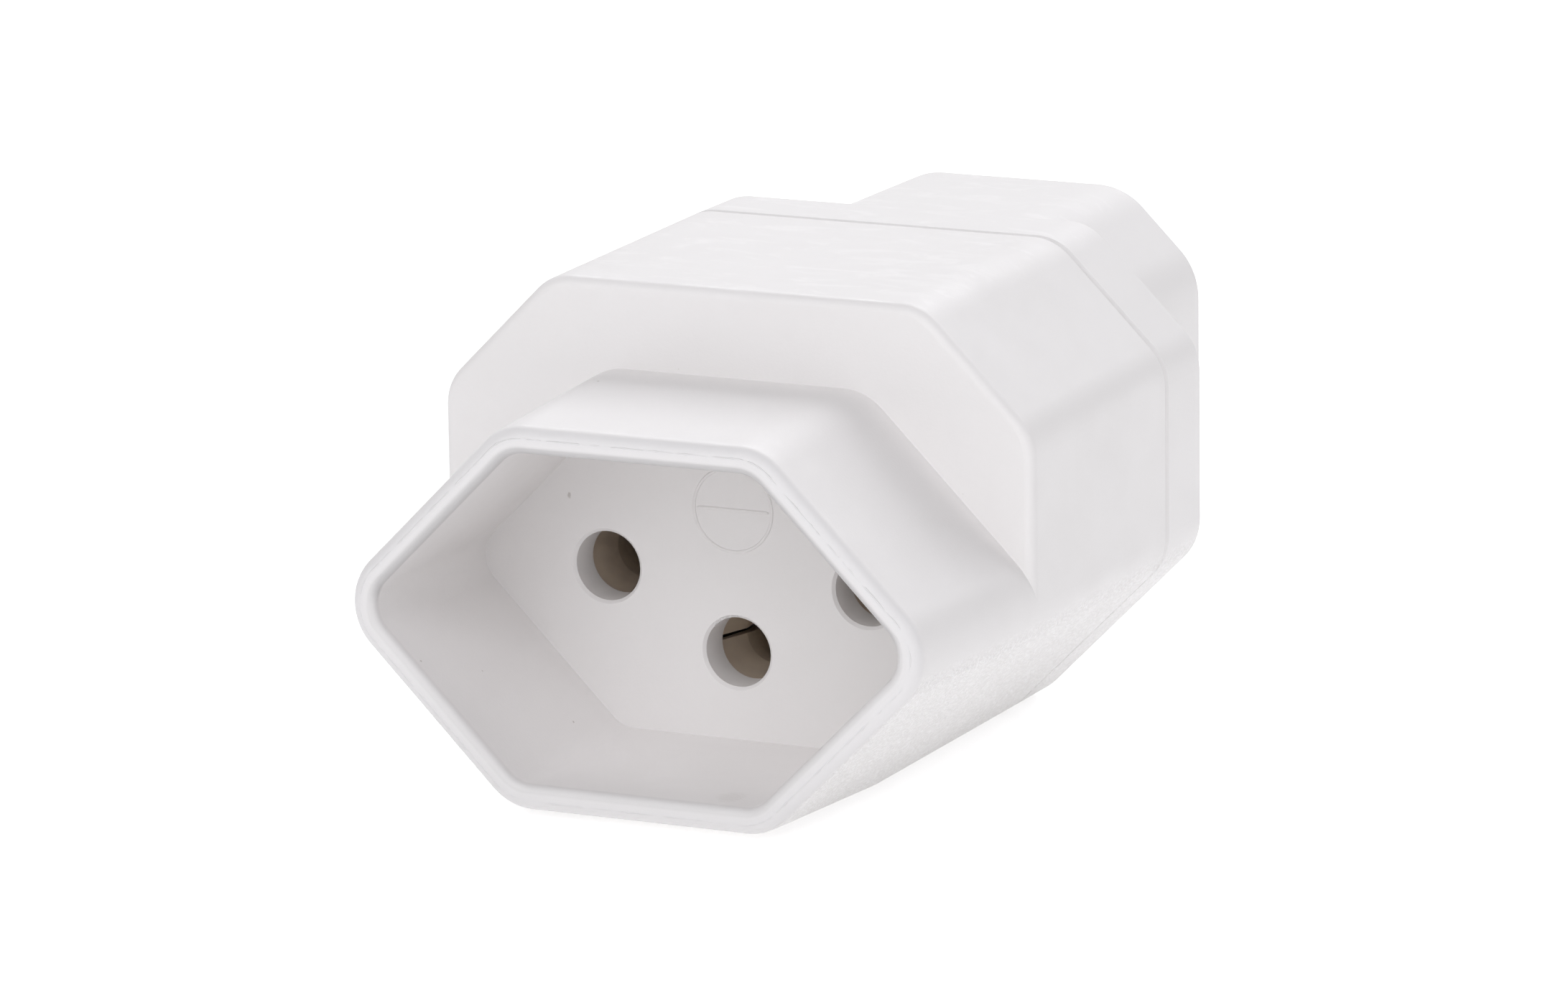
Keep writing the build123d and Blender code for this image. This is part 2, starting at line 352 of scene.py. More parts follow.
    def build_streaks(self) -> bpy.types.NodeTree:
        """Makes the smeared streaks of a top face drawn off the mould: a height, and a mask that
        lowers roughness and marks where lighter sheen is painted on the top face.

        Returns:
            The group.
        """
        stretch = (0.45, 1.0, 1.0)
        level = (0.75, 0.97)
        shiny = (0.51, 0.68)
        tree, net, entry, leave = new_group(
            "skin_streaks_and_painted_sheen",
            {"Size": ("Float", 2.0 * MM), "Above": ("Float", 28.5 * MM)},
            {"Height": "Float", "Mask": "Float"},
        )
        place = net.place()
        drawn = net.vector("MULTIPLY", place, stretch).outputs[0]
        scale = net.math("DIVIDE", 1.0, entry.outputs["Size"])
        smears = net.noise(drawn, scale, Detail=4.0, Roughness=0.62, Distortion=0.9)
        facing_up = net.spread(net.part(net.normal(), "Z"), *level)
        high = net.math("GREATER_THAN", net.part(place, "Z"), entry.outputs["Above"])
        top_face = net.math("MULTIPLY", facing_up, high)
        net.join(net.math("MULTIPLY", smears, top_face), leave.inputs["Height"])
        shine = net.spread(smears, *shiny)
        net.join(net.math("MULTIPLY", shine, top_face), leave.inputs["Mask"])
        return tree

    def build_joint(self) -> bpy.types.NodeTree:
        """Makes the grime in the joint between the two housings: a broken line as a mask.

        Returns:
            The group.
        """
        soft_edge = (0.5, 1.0)
        grimy = (0.42, 0.62)
        thinnest = 0.25
        upward = (0.45, 0.7)
        tree, net, entry, leave = new_group(
            "joint_grime",
            {"Place": ("Float", 0.0), "Width": ("Float", 0.1 * MM)},
            {"Mask": "Float"},
        )
        place = net.place()
        away = net.math("SUBTRACT", net.part(place, "Y"), entry.outputs["Place"])
        away = net.math("DIVIDE", net.math("ABSOLUTE", away), entry.outputs["Width"])
        line = net.spread(away, *soft_edge, 1.0, 0.0)
        blotches = net.noise(place, 420.0, Detail=3.0, Roughness=0.7)
        broken = net.spread(blotches, *grimy, thinnest, 1.0)
        facing_up = net.spread(net.part(net.normal(), "Z"), *upward)
        grime = net.math("MULTIPLY", net.math("MULTIPLY", line, broken), facing_up)
        net.join(grime, leave.inputs["Mask"])
        return tree

    def build_rim(self) -> bpy.types.NodeTree:
        """Makes masks for the rim's inner and outer rounding, where shade is painted (on the inner
        rounding most where it faces down), and for what faces outward behind it.

        Returns:
            The group.
        """
        rim_depth = (0.45 * MM, 0.75 * MM)
        across = (1.0, 0.0, 1.0)
        inward = (0.12, -0.18)
        downward = (0.0, -0.35)
        least = 0.4
        well_outward = (0.05, 0.35)
        tree, net, entry, leave = new_group(
            "collar_rim",
            {"Front": ("Float", 0.0), "Middle": ("Vector", (0.0, 0.0, 0.0))},
            {"Inner": "Float", "Outer": "Float", "Outward": "Float"},
        )
        place = net.place()
        normal = net.normal()
        depth = net.math("SUBTRACT", net.part(place, "Y"), entry.outputs["Front"])
        near = net.spread(depth, *rim_depth, 1.0, 0.0)
        away = net.vector("SUBTRACT", place, entry.outputs["Middle"]).outputs[0]
        flat = net.vector("MULTIPLY", away, across).outputs[0]
        outward = net.vector("NORMALIZE", flat).outputs[0]
        facing = net.vector("DOT_PRODUCT", normal, outward).outputs["Value"]
        inner = net.spread(facing, *inward)
        under = net.spread(net.part(normal, "Z"), *downward, least, 1.0)
        shaded = net.math("MULTIPLY", net.math("MULTIPLY", near, inner), under)
        net.join(shaded, leave.inputs["Inner"])
        outer = net.math("MULTIPLY", near, net.math("SUBTRACT", 1.0, inner))
        net.join(outer, leave.inputs["Outer"])
        behind = net.math("SUBTRACT", 1.0, near)
        outside = net.math("MULTIPLY", net.spread(facing, *well_outward), behind)
        net.join(outside, leave.inputs["Outward"])
        return tree

    def build_lines(self) -> bpy.types.NodeTree:
        """Makes fine lines along one way, as on stamped and drawn metal: a height and a mask.

        Returns:
            The group.
        """
        deep = (0.58, 0.7)
        tree, net, entry, leave = new_group(
            "drawn_lines",
            {"Width": ("Float", 0.05 * MM), "Stretch": ("Vector", (1.0, 0.03, 1.0))},
            {"Height": "Float", "Mask": "Float"},
        )
        drawn = net.vector("MULTIPLY", net.place(), entry.outputs["Stretch"]).outputs[0]
        scale = net.math("DIVIDE", 1.0, entry.outputs["Width"])
        lines = net.noise(drawn, scale, Detail=4.0, Roughness=0.7)
        net.join(lines, leave.inputs["Height"])
        net.join(net.spread(lines, *deep), leave.inputs["Mask"])
        return tree


def place_group(net: Net, tree: bpy.types.NodeTree, **values: object) -> bpy.types.Node:
    """Puts a shared effect into a material.

    Args:
        net: the material's net.
        tree: the effect's node group.
        values: input values by the socket's name.

    Returns:
        The group node.
    """
    node = net.add("Group", node_tree=tree)
    for name, value in values.items():
        node.inputs[name].default_value = value
    return node


def mixed(net: Net, mask: Socket, plain: Union[Socket, tuple], marked: tuple) -> Socket:
    """Mixes two colours by a mask.

    Args:
        net: the material's net.
        mask: the socket that says how much of the second colour shows.
        plain: the colour where the mask is 0, or its socket.
        marked: the colour where the mask is 1.

    Returns:
        The mixed colour's socket.
    """
    node = net.add("Mix", data_type="RGBA")
    net.join(mask, node.inputs["Factor"])
    if isinstance(plain, Socket):
        net.join(plain, node.inputs["A"])
    else:
        node.inputs["A"].default_value = (*plain, 1.0)
    node.inputs["B"].default_value = (*marked, 1.0)
    return node.outputs["Result"]


def new_material(name: str) -> tuple:
    """Makes a material with only its output and its shader.

    Args:
        name: the material's name.

    Returns:
        The material, its Net and its Principled shader node.
    """
    material = bpy.data.materials.new(name)
    material.use_nodes = True
    net = Net(material.node_tree)
    shader = next(n for n in material.node_tree.nodes if n.type == "BSDF_PRINCIPLED")
    return material, net, shader


@dataclass(frozen=True)
class Mark:
    """A small dark mark in the plastic's surface, with its place in millimetres."""

    centre: tuple
    radius: float
    depth: float = 1.0
    stretch: tuple = (1.0, 1.0, 1.0)


@dataclass(frozen=True)
class MouldedPlastic:
    """A satin moulded plastic."""

    name: str
    colour: tuple
    patch_colour: tuple
    speck_colour: tuple
    roughness: float = 0.45
    gloss_spread: float = 0.08
    flow_size: float = 7.0
    flow_height: float = 0.010
    grain_size: float = 0.22
    grain_height: float = 0.012
    grained_height: float = 0.20
    # Painted highlight: the lighter colour of grain spots on down-facing faces, standing in for
    # glints.
    painted_glint_colour: tuple = (0.97, 0.955, 0.95)
    # Painted highlight: share and colour of the lighter sheen painted in the top face's streaks.
    painted_sheen_share: float = 0.75
    streak_height: float = 0.012
    painted_sheen_colour: tuple = (0.90, 0.88, 0.872)
    joint_colour: tuple = (0.20, 0.18, 0.165)
    # Painted shade: colours that darken the rim's inner rounding and its front and outer rounding.
    rim_inner_painted_shade_colour: tuple = (0.590, 0.578, 0.575)
    rim_outer_painted_shade_colour: tuple = (0.785, 0.769, 0.767)
    joint_width: float = 0.16
    speck_share: float = 0.25
    speck_spacing: float = 4.0
    speck_radius: float = 0.08
    grain_shine: float = 0.06
    streak_shine: float = 0.03
    downward: tuple = (-0.25, -0.55)
    flow: Flow = Flow.NONE
    marks: tuple = ()

    def build(self, effects: Effects) -> bpy.types.Material:
        """Makes the material.

        Args:
            effects: the shared node groups.

        Returns:
            The material.
        """
        material, net, shader = new_material(self.name)
        flow = place_group(net, effects.flow, Size=self.flow_size * MM, Stretch=self.flow.value)
        grain = place_group(net, effects.grain, Size=self.grain_size * MM)
        streaks = place_group(net, effects.streaks)
        rim = place_group(net, effects.rim, Front=CAD_BOX[0].y, Middle=SOCKET_AXIS)
        grained = net.spread(net.part(net.normal(), "Z"), *self.downward)
        grained = net.math("MULTIPLY", grained, rim.outputs["Outward"])
        colour = mixed(net, flow.outputs["Tone"], self.colour, self.patch_colour)
        # Painted highlight: the top face's streaks are made lighter in colour, standing in for
        # sheen; their bump and roughness are real.
        painted_sheen = net.math("MULTIPLY", streaks.outputs["Mask"], self.painted_sheen_share)
        colour = mixed(net, painted_sheen, colour, self.painted_sheen_colour)
        joint = place_group(net, effects.joint, Place=JOINT_Y, Width=self.joint_width * MM)
        colour = mixed(net, joint.outputs["Mask"], colour, self.joint_colour)
        # Painted highlight: lighter grain spots on the down-facing faces stand in for glints of
        # light; the coarser bump there is real.
        painted_glint = net.math("MULTIPLY", grain.outputs["Sparkle"], grained)
        colour = mixed(net, painted_glint, colour, self.painted_glint_colour)
        # Painted shade: the rim's inner rounding is darkened, most where it faces down, and its
        # front and outer rounding less so.
        colour = mixed(net, rim.outputs["Inner"], colour, self.rim_inner_painted_shade_colour)
        colour = mixed(net, rim.outputs["Outer"], colour, self.rim_outer_painted_shade_colour)
        colour = self.marked(net, effects, colour, grain)
        net.join(colour, shader.inputs["Base Color"])
        rough = net.spread(flow.outputs["Gloss"], 0.0, 1.0, self.roughness - self.gloss_spread,
                           self.roughness + self.gloss_spread)
        shine = net.math("ADD", net.math("MULTIPLY", grain.outputs["Sparkle"], self.grain_shine),
                         net.math("MULTIPLY", streaks.outputs["Mask"], self.streak_shine))
        net.join(net.math("SUBTRACT", rough, shine), shader.inputs["Roughness"])
        net.join(self.relief(net, flow, grain, streaks, grained), shader.inputs["Normal"])
        return material

    def marked(self, net: Net, effects: Effects, colour: Socket, grain: bpy.types.Node) -> Socket:
        """Adds the scattered specks and the single marks to the colour.

        Args:
            net: the material's net.
            effects: the shared node groups.
            colour: the socket with the colour so far.
            grain: the grain group's node, which makes the marks' edges uneven.

        Returns:
            The colour's socket.
        """
        specks = place_group(net, effects.specks, Spacing=self.speck_spacing * MM,
                             Radius=self.speck_radius * MM, Share=self.speck_share)
        colour = mixed(net, specks.outputs["Mask"], colour, self.speck_colour)
        for mark in self.marks:
            spot = place_group(net, effects.spot, Centre=tuple(c * MM for c in mark.centre),
                               Radius=mark.radius * MM, Stretch=mark.stretch)
            net.join(grain.outputs["Height"], spot.inputs["Ragged"])
            mask = net.math("MULTIPLY", spot.outputs["Mask"], mark.depth)
            colour = mixed(net, mask, colour, self.speck_colour)
        return colour

    def relief(self, net: Net, flow: bpy.types.Node, grain: bpy.types.Node,
               streaks: bpy.types.Node, grained: Socket) -> Socket:
        """Makes the surface's normal: broad waves, and grain that is coarser where it is grained.

        Args:
            net: the material's net.
            flow: the flow group's node.
            grain: the grain group's node.
            streaks: the streaks group's node.
            grained: the mask of the coarsely grained faces.

        Returns:
            The normal's socket.
        """
        waves = net.add("Bump", values={"Distance": self.flow_height * MM})
        smear_share = self.streak_height / self.flow_height
        smear = net.math("MULTIPLY", streaks.outputs["Height"], smear_share)
        net.join(net.math("ADD", flow.outputs["Height"], smear), waves.inputs["Height"])
        fine_share = self.grain_height / self.grained_height
        coarseness = net.spread(grained, 0.0, 1.0, fine_share, 1.0)
        texture = net.add("Bump", values={"Distance": self.grained_height * MM})
        height = net.math("MULTIPLY", grain.outputs["Height"], coarseness)
        net.join(height, texture.inputs["Height"])
        net.join(waves.outputs[0], texture.inputs["Normal"])
        return texture.outputs[0]


@dataclass(frozen=True)
class DrawnMetal:
    """A rolled or drawn metal with fine lines and some tarnish."""

    name: str
    colour: tuple
    tarnish: tuple
    roughness: float = 0.28
    dullness: float = 0.0
    gloss_patches: tuple = (-0.07, 0.12)
    patch_size: float = 2.5
    tarnish_dulling: float = 0.6
    line_width: float = 0.05
    line_height: float = 0.004
    line_dulling: float = 0.12
    stretch: tuple = (1.0, 0.03, 1.0)

    def build(self, effects: Effects) -> bpy.types.Material:
        """Makes the material.

        Args:
            effects: the shared node groups.

        Returns:
            The material.
        """
        material, net, shader = new_material(self.name)
        lines = place_group(net, effects.lines, Width=self.line_width * MM, Stretch=self.stretch)
        flow = place_group(net, effects.flow, Size=self.patch_size * MM)
        colour = mixed(net, flow.outputs["Tone"], self.colour, self.tarnish)
        net.join(colour, shader.inputs["Base Color"])
        smooth, dull = (self.roughness + change for change in self.gloss_patches)
        rough = net.spread(flow.outputs["Gloss"], 0.0, 1.0, smooth, dull)
        scored = net.math("MULTIPLY", lines.outputs["Mask"], self.line_dulling)
        net.join(net.math("ADD", rough, scored), shader.inputs["Roughness"])
        bump = net.add("Bump", values={"Distance": self.line_height * MM})
        net.join(lines.outputs["Height"], bump.inputs["Height"])
        net.join(bump.outputs[0], shader.inputs["Normal"])
        if self.dullness:
            bright = net.spread(flow.outputs["Tone"], 0.0, 1.0, 1.0 - self.dullness,
                                1.0 - self.dullness * self.tarnish_dulling)
            net.join(bright, shader.inputs["Metallic"])
        else:
            shader.inputs["Metallic"].default_value = 1.0
        return material


OUTSIDE_MARKS = (
    Mark((-8.2, -18.8, 26.8), 0.13, 0.7),
    Mark((-12.2, -15.5, 18.1), 0.15, 0.5, (1.0, 1.0, 0.6)),
    Mark((-9.9, -20.0, 3.9), 0.11, 0.6),
    Mark((-14.1, -24.7, 8.1), 0.11, 0.5),
    Mark((-15.9, -29.9, 9.8), 0.10, 0.5),
    Mark((5.8, -28.5, 2.5), 0.75, 0.10, (0.7, 0.55, 1.0)),
)

WHITE_MOULDING = MouldedPlastic(
    name="white_moulding",
    colour=(0.850, 0.830, 0.822),
    patch_colour=(0.834, 0.814, 0.804),
    speck_colour=(0.36, 0.32, 0.28),
    marks=OUTSIDE_MARKS,
)
WHITE_REAR_MOULDING = MouldedPlastic(
    name="white_rear_moulding",
    colour=(0.852, 0.833, 0.825),
    patch_colour=(0.838, 0.819, 0.810),
    speck_colour=(0.36, 0.32, 0.28),
    flow=Flow.UPRIGHT,
    speck_share=0.15,
)
# Painted shade: the seam is coloured darker than the white moulding, standing in for the shade line
# along its raised ridge.
SHADE_PAINTED_FLASH = MouldedPlastic(
    name="flash_line_painted_shade",
    colour=(0.76, 0.75, 0.755),
    patch_colour=(0.71, 0.70, 0.705),
    speck_colour=(0.36, 0.32, 0.28),
    speck_share=0.0,
)
INNER_MOULDING = MouldedPlastic(
    name="inner_moulding",
    colour=(0.060, 0.055, 0.050),
    patch_colour=(0.045, 0.042, 0.040),
    speck_colour=(0.10, 0.09, 0.08),
    roughness=0.5,
    grain_height=0.008,
    grained_height=0.012,
)
BRASS = DrawnMetal(
    name="sprung_brass",
    colour=(0.76, 0.66, 0.54),
    tarnish=(0.62, 0.53, 0.45),
    roughness=0.36,
    dullness=0.75,
)
STEEL = DrawnMetal(
    name="clip_steel",
    colour=(0.56, 0.56, 0.57),
    tarnish=(0.42, 0.41, 0.40),
    roughness=0.32,
    stretch=(1.0, 1.0, 1.0),
)
PLATED = DrawnMetal(
    name="plated_pin_metal",
    colour=(0.78, 0.76, 0.71),
    tarnish=(0.70, 0.68, 0.63),
    roughness=0.22,
    line_height=0.002,
)


def dress(nodes: list, material: bpy.types.Material) -> None:
    """Gives carried-over pieces their finish.

    Args:
        nodes: the names of the pieces.
        material: the finish that each of them gets.
    """
    for name in nodes:
        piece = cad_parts[name]
        piece.data.materials.clear()
        piece.data.materials.append(material)
        log.info("%s is finished in %s", name, material.name)


def new_piece(name: str, points: list, faces: list,
              material: bpy.types.Material) -> bpy.types.Object:
    """Makes a mesh piece that rides on the adapter.

    Args:
        name: the piece's name.
        points: its points in metres.
        faces: its faces, as tuples of point numbers.
        material: its finish.

    Returns:
        The new object.
    """
    mesh = bpy.data.meshes.new(name)
    mesh.from_pydata(points, [], faces)
    mesh.update()
    mesh.materials.append(material)
    mesh.polygons.foreach_set("use_smooth", [True] * len(mesh.polygons))
    piece = bpy.data.objects.new(name, mesh)
    bpy.context.scene.collection.objects.link(piece)
    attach(piece, "root")
    log.info("%s: %d faces", name, len(faces))
    return piece


def swept_faces(count: int, around: int) -> list:
    """The faces of a closed sweep.

    Args:
        count: how many sections the sweep has.
        around: how many points each section has.

    Returns:
        The faces, as tuples of point numbers.
    """
    faces = []
    for i in range(count):
        j = (i + 1) % count
        for k in range(around):
            m = (k + 1) % around
            faces.append((i * around + k, j * around + k, j * around + m, i * around + m))
    return faces


@dataclass
class Collar:
    """The six-sided collar at the front, with sizes in millimetres."""

    half_width: float = 22.1
    half_height: float = 12.75
    corner_radius: float = 4.0
    rim_radius: float = 1.0
    seam_inset: float = 0.72
    seam_height: float = 0.036
    seam_width: float = 0.15
    seam_wander: float = 0.05
    seam_clearance: float = 0.004
    seam_mean: float = 0.68
    seam_least: float = 0.35
    broad_waves: float = 0.9
    broad_share: float = 0.45
    fine_waves: float = 3.1
    fine_share: float = 0.3
    fine_offset: float = 7.0
    width_mean: float = 0.75
    width_share: float = 0.5
    points_across: int = 5
    arc_steps: int = 16
    straight_steps: int = 60

    def outline(self, inset: float) -> list:
        """Goes round the rim's outline.

        Args:
            inset: how far inside the outline the points lie.

        Returns:
            Pairs of a point (x, z) and its outward normal (x, z), in millimetres.
        """
        flat = self.half_width - self.half_height
        corners = [(-self.half_width, 0), (-flat, self.half_height), (flat, self.half_height),
                   (self.half_width, 0), (flat, -self.half_height), (-flat, -self.half_height)]
        corners = [Vector(corner) for corner in corners]
        arcs = []
        for i, corner in enumerate(corners):
            before = (corners[i - 1] - corner).normalized()
            after = (corners[(i + 1) % len(corners)] - corner).normalized()
            half = before.angle(after) / 2
            middle = (before + after).normalized()
            centre = corner + middle * self.corner_radius / math.sin(half)
            start = corner + before * self.corner_radius / math.tan(half) - centre
            end = corner + after * self.corner_radius / math.tan(half) - centre
            turn = start.angle_signed(end)
            arc = []
            for k in range(self.arc_steps + 1):
                normal = start.normalized()
                normal.rotate(Matrix.Rotation(-turn * k / self.arc_steps, 2))
                arc.append((centre + normal * (self.corner_radius - inset), normal))
            arcs.append(arc)
        points = []
        for i, arc in enumerate(arcs):
            points += arc
            start, normal = arc[-1]
            end = arcs[(i + 1) % len(arcs)][0][0]
            for k in range(1, self.straight_steps):
                points.append((start.lerp(end, k / self.straight_steps), normal))
        return [(Vector((point.x, point.y + SOCKET_HEIGHT)), normal) for point, normal in points]

    def seam(self, material: bpy.types.Material) -> bpy.types.Object:
        """Builds the faint uneven line that the mould left inside the rim's rounded edge.

        Args:
            material: its finish.

        Returns:
            The seam.
        """
        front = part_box("front_housing")[0].y / MM
        from_middle = self.rim_radius - self.seam_inset
        depth = self.rim_radius - math.sqrt(self.rim_radius ** 2 - from_middle ** 2)
        points = []
        ring = self.outline(self.seam_inset)
        for place, normal in ring:
            broad = noise.noise(Vector((place.x, place.y, 0.0)) * self.broad_waves)
            fine = noise.noise(Vector((place.x, place.y, self.fine_offset)) * self.fine_waves)
            share = self.seam_mean + self.broad_share * broad + self.fine_share * fine
            height = self.seam_height * min(max(share, self.seam_least), 1.0)
            width = self.seam_width * (self.width_mean + self.width_share * fine)
            shift = self.seam_wander * broad
            for k in range(self.points_across):
                side = 1 - 2 * k / (self.points_across - 1)
                rise = height * (1 - side * side)
                spot = place + normal * (side * width / 2 + shift)
                y = front + depth - rise + self.seam_clearance
                points.append((spot.x * MM, y * MM, spot.y * MM))
            spot = place + normal * shift
            y = front + depth + self.seam_height
            points.append((spot.x * MM, y * MM, spot.y * MM))
        faces = swept_faces(len(ring), self.points_across + 1)
        return new_piece("collar_seam", points, faces, material)


@dataclass
class RatingMark:
    """The small raised ring and bar on the recess floor, whose inside is bare, in millimetres."""

    centre_x: float = -0.15
    centre_z: float = 18.15
    radius: float = 2.83
    line_width: float = 0.22
    rise: float = 0.08
    sunk: float = 0.02
    floor_y: float = -15.5
    bar_share: float = 0.92
    ring_steps: int = 120
    section_steps: int = 6
    bar_steps: int = 24
    bar_end_steps: int = 2
    bar_tip: float = 0.25

    def section(self) -> list:
        """The mark's half-round section.

        Returns:
            Pairs of a place across the line and a rise from the floor, in millimetres.
        """
        top = []
        for k in range(self.section_steps + 1):
            angle = math.pi * k / self.section_steps
            top.append((math.cos(angle) * self.line_width / 2, math.sin(angle) * self.rise))
        return [(self.line_width / 2, -self.sunk)] + top + [(-self.line_width / 2, -self.sunk)]

    def ring(self, material: bpy.types.Material) -> bpy.types.Object:
        """Builds the ring.

        Args:
            material: its finish.

        Returns:
            The ring.
        """
        points = []
        section = self.section()
        for i in range(self.ring_steps):
            angle = 2 * math.pi * i / self.ring_steps
            for side, rise in section:
                x = self.centre_x + (self.radius + side) * math.cos(angle)
                z = self.centre_z + (self.radius + side) * math.sin(angle)
                points.append((x * MM, (self.floor_y - rise) * MM, z * MM))
        faces = swept_faces(self.ring_steps, len(section))
        return new_piece("rating_ring", points, faces, material)

    def bar(self, material: bpy.types.Material) -> bpy.types.Object:
        """Builds the bar across the ring, which narrows at its two ends.

        Args:
            material: its finish.

        Returns:
            The bar.
        """
        points = []
        section = self.section()
        reach = self.radius * self.bar_share
        for i in range(self.bar_steps + 1):
            x = self.centre_x - reach + 2 * reach * i / self.bar_steps
            from_end = (min(i, self.bar_steps - i) + self.bar_tip) / self.bar_end_steps
            share = math.sqrt(1 - (1 - min(from_end, 1.0)) ** 2)
            for side, rise in section:
                y = self.floor_y - (rise if rise < 0 else rise * share)
                points.append((x * MM, y * MM, (self.centre_z + side * share) * MM))
        around = len(section)
        faces = swept_faces(self.bar_steps + 1, around)[: self.bar_steps * around]
        faces.append(tuple(reversed(range(around))))
        faces.append(tuple(range(self.bar_steps * around, (self.bar_steps + 1) * around)))
        return new_piece("rating_bar", points, faces, material)


@dataclass
class Housings:
    """The two white mouldings, and what is raised on them."""

    collar: Collar = field(default_factory=Collar)
    mark: RatingMark = field(default_factory=RatingMark)

    def build(self, effects: Effects) -> None:
        """Dresses both housings and builds the raised details.

        Args:
            effects: the shared node groups.
        """
        white = WHITE_MOULDING.build(effects)
        dress(["front_housing"], white)
        dress(["rear_housing"], WHITE_REAR_MOULDING.build(effects))
        self.collar.seam(SHADE_PAINTED_FLASH.build(effects))
        self.mark.ring(white)
        self.mark.bar(white)


class Inside:
    """What the housings hold: the inner mouldings, the contacts, the strips and the pins."""

    def build(self, effects: Effects) -> None:
        """Dresses every inner piece.

        Args:
            effects: the shared node groups.
        """
        dress(["contact_carrier", "pin_retainer"], INNER_MOULDING.build(effects))
        brass = BRASS.build(effects)
        steel = STEEL.build(effects)
        plated = PLATED.build(effects)
        dress(["contact_rivets"], brass)
        for pole in Pole:
            dress([f"{pole.value}_contact", f"{pole.value}_strip"], brass)
            dress([f"{pole.value}_contact_clip"], steel)
            dress([f"{pole.value}_pin"], plated)


def direction(azimuth: float, elevation: float) -> Vector:
    """The way to a point seen from the adapter.

    Args:
        azimuth: degrees from the front, towards the right.
        elevation: degrees above the floor.

    Returns:
        The unit vector towards it.
    """
    turn, rise = math.radians(azimuth), math.radians(elevation)
    level = math.cos(rise)
    return Vector((math.sin(turn) * level, -math.cos(turn) * level, math.sin(rise)))


@dataclass(frozen=True)
class Softbox:
    """One broad studio light, aimed at the adapter."""

    name: str
    azimuth: float
    elevation: float
    power: float
    size: float = 0.6
    distance: float = 0.9
    colour: tuple = (1.0, 0.998, 1.026)

    def build(self, aim: Vector) -> bpy.types.Object:
        """Makes the light.

        Args:
            aim: the point that it faces.

        Returns:
            The light's object.
        """
        lamp = bpy.data.lights.new(self.name, "AREA")
        lamp.shape = "SQUARE"
        lamp.size = self.size
        lamp.energy = self.power
        lamp.color = self.colour
        light = bpy.data.objects.new(self.name, lamp)
        away = direction(self.azimuth, self.elevation)
        light.location = aim + away * self.distance
        light.rotation_euler = away.to_track_quat("Z", "Y").to_euler()
        bpy.context.scene.collection.objects.link(light)
        return light


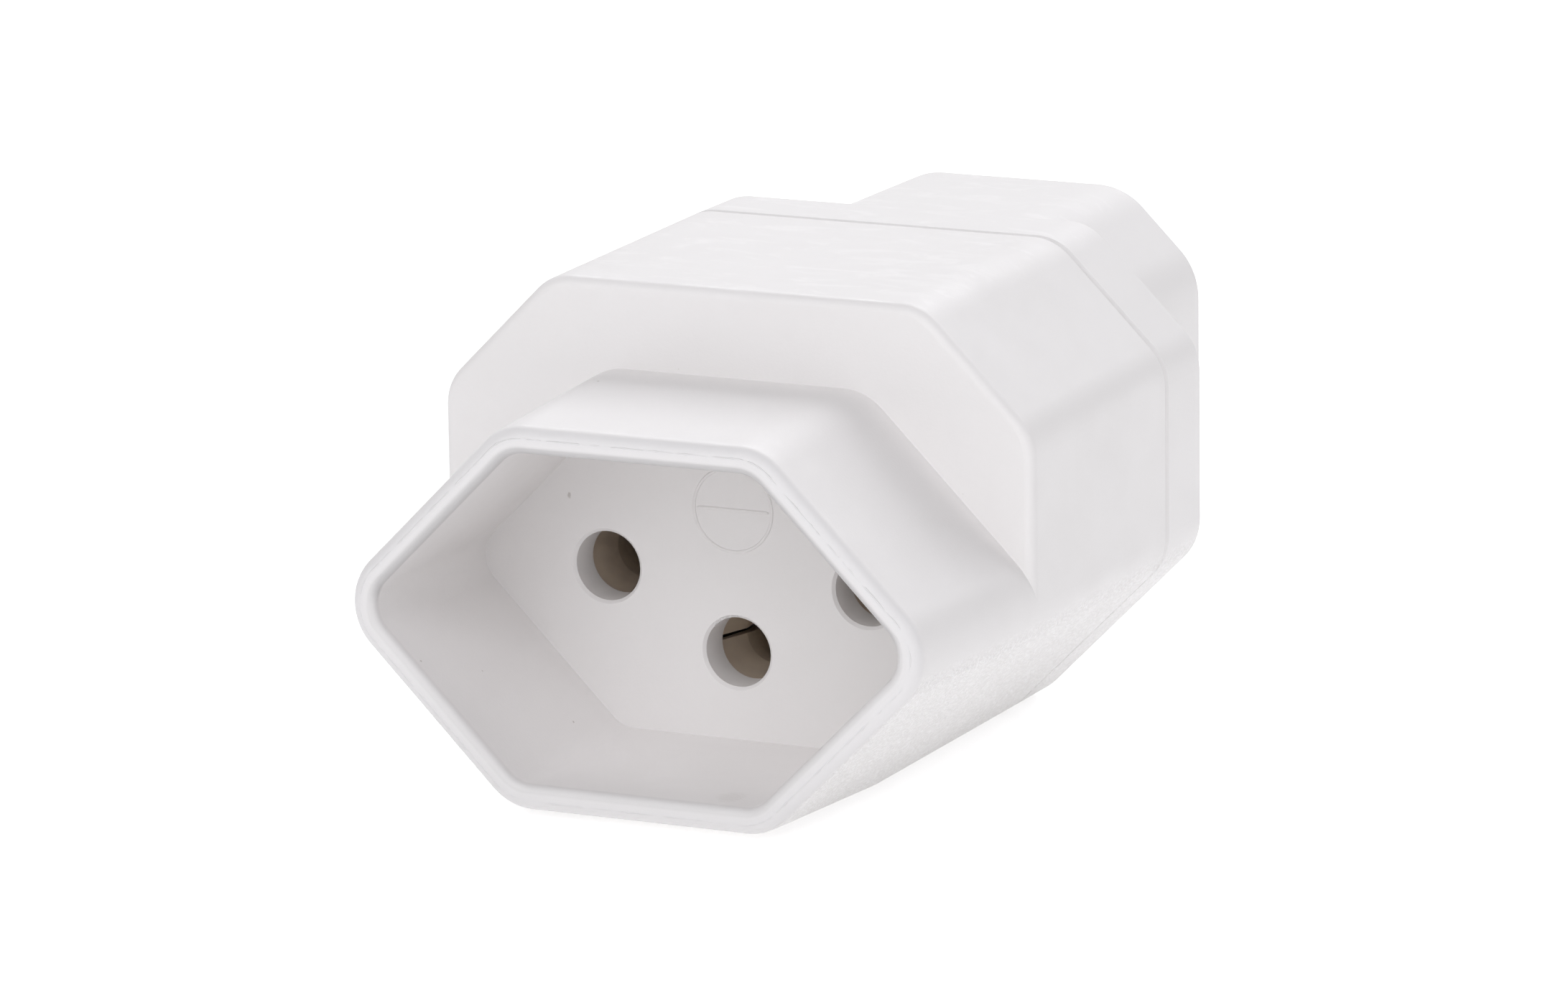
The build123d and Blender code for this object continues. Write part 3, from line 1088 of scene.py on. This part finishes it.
@dataclass
class Studio:
    """The white floor, the surrounding light and the camera."""

    floor_half: float = 3.0
    floor_colour: tuple = (0.96, 0.96, 0.96)
    floor_roughness: float = 0.9
    floor_shine: float = 0.1
    floor_light: tuple = (0.20, 0.37)
    floor_light_across: tuple = (-0.05, 0.10)
    floor_white: float = 0.25
    floor_fade: tuple = (0.12, 0.7)
    sky_light: float = 0.04
    sky_colour: tuple = (1.0, 1.0, 1.018)
    softboxes: tuple = (
        Softbox("left_front_softbox", -22.0, 20.0, 1.0, colour=(0.985, 1.0, 0.995)),
        Softbox("front_softbox", 0.0, 25.0, 0.95, colour=(0.998, 1.0, 1.035)),
        Softbox("left_high_softbox", -18.0, 50.0, 1.9),
        Softbox("right_front_softbox", 34.0, 36.0, 1.85, colour=(1.0, 0.998, 1.035)),
        Softbox("right_low_softbox", 55.0, 8.0, 0.55, colour=(1.0, 0.998, 1.035)),
        Softbox("right_back_softbox", 150.0, 45.0, 2.6),
        Softbox("back_softbox", -163.0, 45.0, 2.6),
        Softbox("left_softbox", -110.0, 35.0, 0.5),
    )
    camera_aim: tuple = (2.547, -13.337, 19.032)
    camera_azimuth: float = 25.779
    camera_elevation: float = 13.126
    camera_roll: float = -0.846
    camera_distance: float = 555.04
    camera_lens: float = 193.94
    camera_sensor: float = 36.0
    camera_near: float = 0.01

    def build(self) -> None:
        """Makes the floor, the lights and the camera."""
        self.build_floor()
        self.build_sky()
        aim = Vector(self.camera_aim) * MM
        for softbox in self.softboxes:
            softbox.build(aim)
        self.build_camera(aim)

    def seen(self, net: Net) -> Socket:
        """Picks the rays that see plain white surroundings: camera, mirror and glass rays.

        Args:
            net: the net of the floor's material or of the world.

        Returns:
            The socket that is 1 for those rays and 0 for all others.
        """
        path = net.add("LightPath")
        shown = net.math("MAXIMUM", path.outputs["Is Camera Ray"], path.outputs["Is Glossy Ray"])
        return net.math("MAXIMUM", shown, path.outputs["Is Transmission Ray"])

    def build_floor(self) -> None:
        """Makes the pale floor, which keeps the adapter's shadow."""
        half = self.floor_half
        corners = [(-half, -half, 0), (half, -half, 0), (half, half, 0), (-half, half, 0)]
        mesh = bpy.data.meshes.new("floor")
        mesh.from_pydata(corners, [], [(0, 1, 2, 3)])
        floor = bpy.data.objects.new("floor", mesh)
        bpy.context.scene.collection.objects.link(floor)
        material, net, shader = new_material("pale_floor")
        shader.inputs["Base Color"].default_value = (*self.floor_colour, 1.0)
        shader.inputs["Roughness"].default_value = self.floor_roughness
        shader.inputs["Specular IOR Level"].default_value = self.floor_shine
        shader.inputs["Emission Color"].default_value = (1.0, 1.0, 1.0, 1.0)
        place = net.place()
        away = net.vector("LENGTH", place).outputs["Value"]
        white = net.spread(away, *self.floor_fade, self.floor_white, 1.0)
        bounced = net.spread(net.part(place, "X"), *self.floor_light_across, *self.floor_light)
        glow = net.math("ADD", net.math("MULTIPLY", self.seen(net), white), bounced)
        net.join(glow, shader.inputs["Emission Strength"])
        mesh.materials.append(material)

    def build_sky(self) -> None:
        """Makes the soft light from all round, and the white that the camera sees."""
        world = bpy.data.worlds.new("white_surround")
        bpy.context.scene.world = world
        world.use_nodes = True
        net = Net(world.node_tree)
        background = next(n for n in world.node_tree.nodes if n.type == "BACKGROUND")
        output = next(n for n in world.node_tree.nodes if n.type == "OUTPUT_WORLD")
        background.inputs["Color"].default_value = (*self.sky_colour, 1.0)
        background.inputs["Strength"].default_value = self.sky_light
        white = net.add("Background", values={"Strength": 1.0})
        white.inputs["Color"].default_value = (1.0, 1.0, 1.0, 1.0)
        mix = net.add("MixShader")
        net.join(self.seen(net), mix.inputs[0])
        net.join(background.outputs[0], mix.inputs[1])
        net.join(white.outputs[0], mix.inputs[2])
        net.join(mix.outputs[0], output.inputs["Surface"])

    def build_camera(self, aim: Vector) -> None:
        """Makes the camera at the photo's viewing angle.

        Args:
            aim: the point on the camera's axis.
        """
        back = direction(self.camera_azimuth, self.camera_elevation)
        right = Vector((0, 0, 1)).cross(back).normalized()
        up = back.cross(right)
        roll = math.radians(self.camera_roll)
        rolled_right = right * math.cos(roll) + up * math.sin(roll)
        rolled_up = up * math.cos(roll) - right * math.sin(roll)
        data = bpy.data.cameras.new("photo_camera")
        data.lens = self.camera_lens
        data.sensor_width = self.camera_sensor
        data.clip_start = self.camera_near
        camera = bpy.data.objects.new("photo_camera", data)
        axes = Matrix((rolled_right, rolled_up, back)).transposed().to_4x4()
        place = aim + back * self.camera_distance * MM
        camera.matrix_world = Matrix.Translation(place) @ axes
        bpy.context.scene.collection.objects.link(camera)
        bpy.context.scene.camera = camera


def main() -> None:
    """Builds the adapter's looks in order, then the studio round it."""
    logging.basicConfig(level=logging.INFO, format="%(name)s: %(message)s")
    bpy.context.scene.view_settings.view_transform = "Standard"
    effects = Effects()
    Housings().build(effects)
    Inside().build(effects)
    Studio().build()
    bpy.context.view_layer.update()


if __name__ == "__main__":
    main()
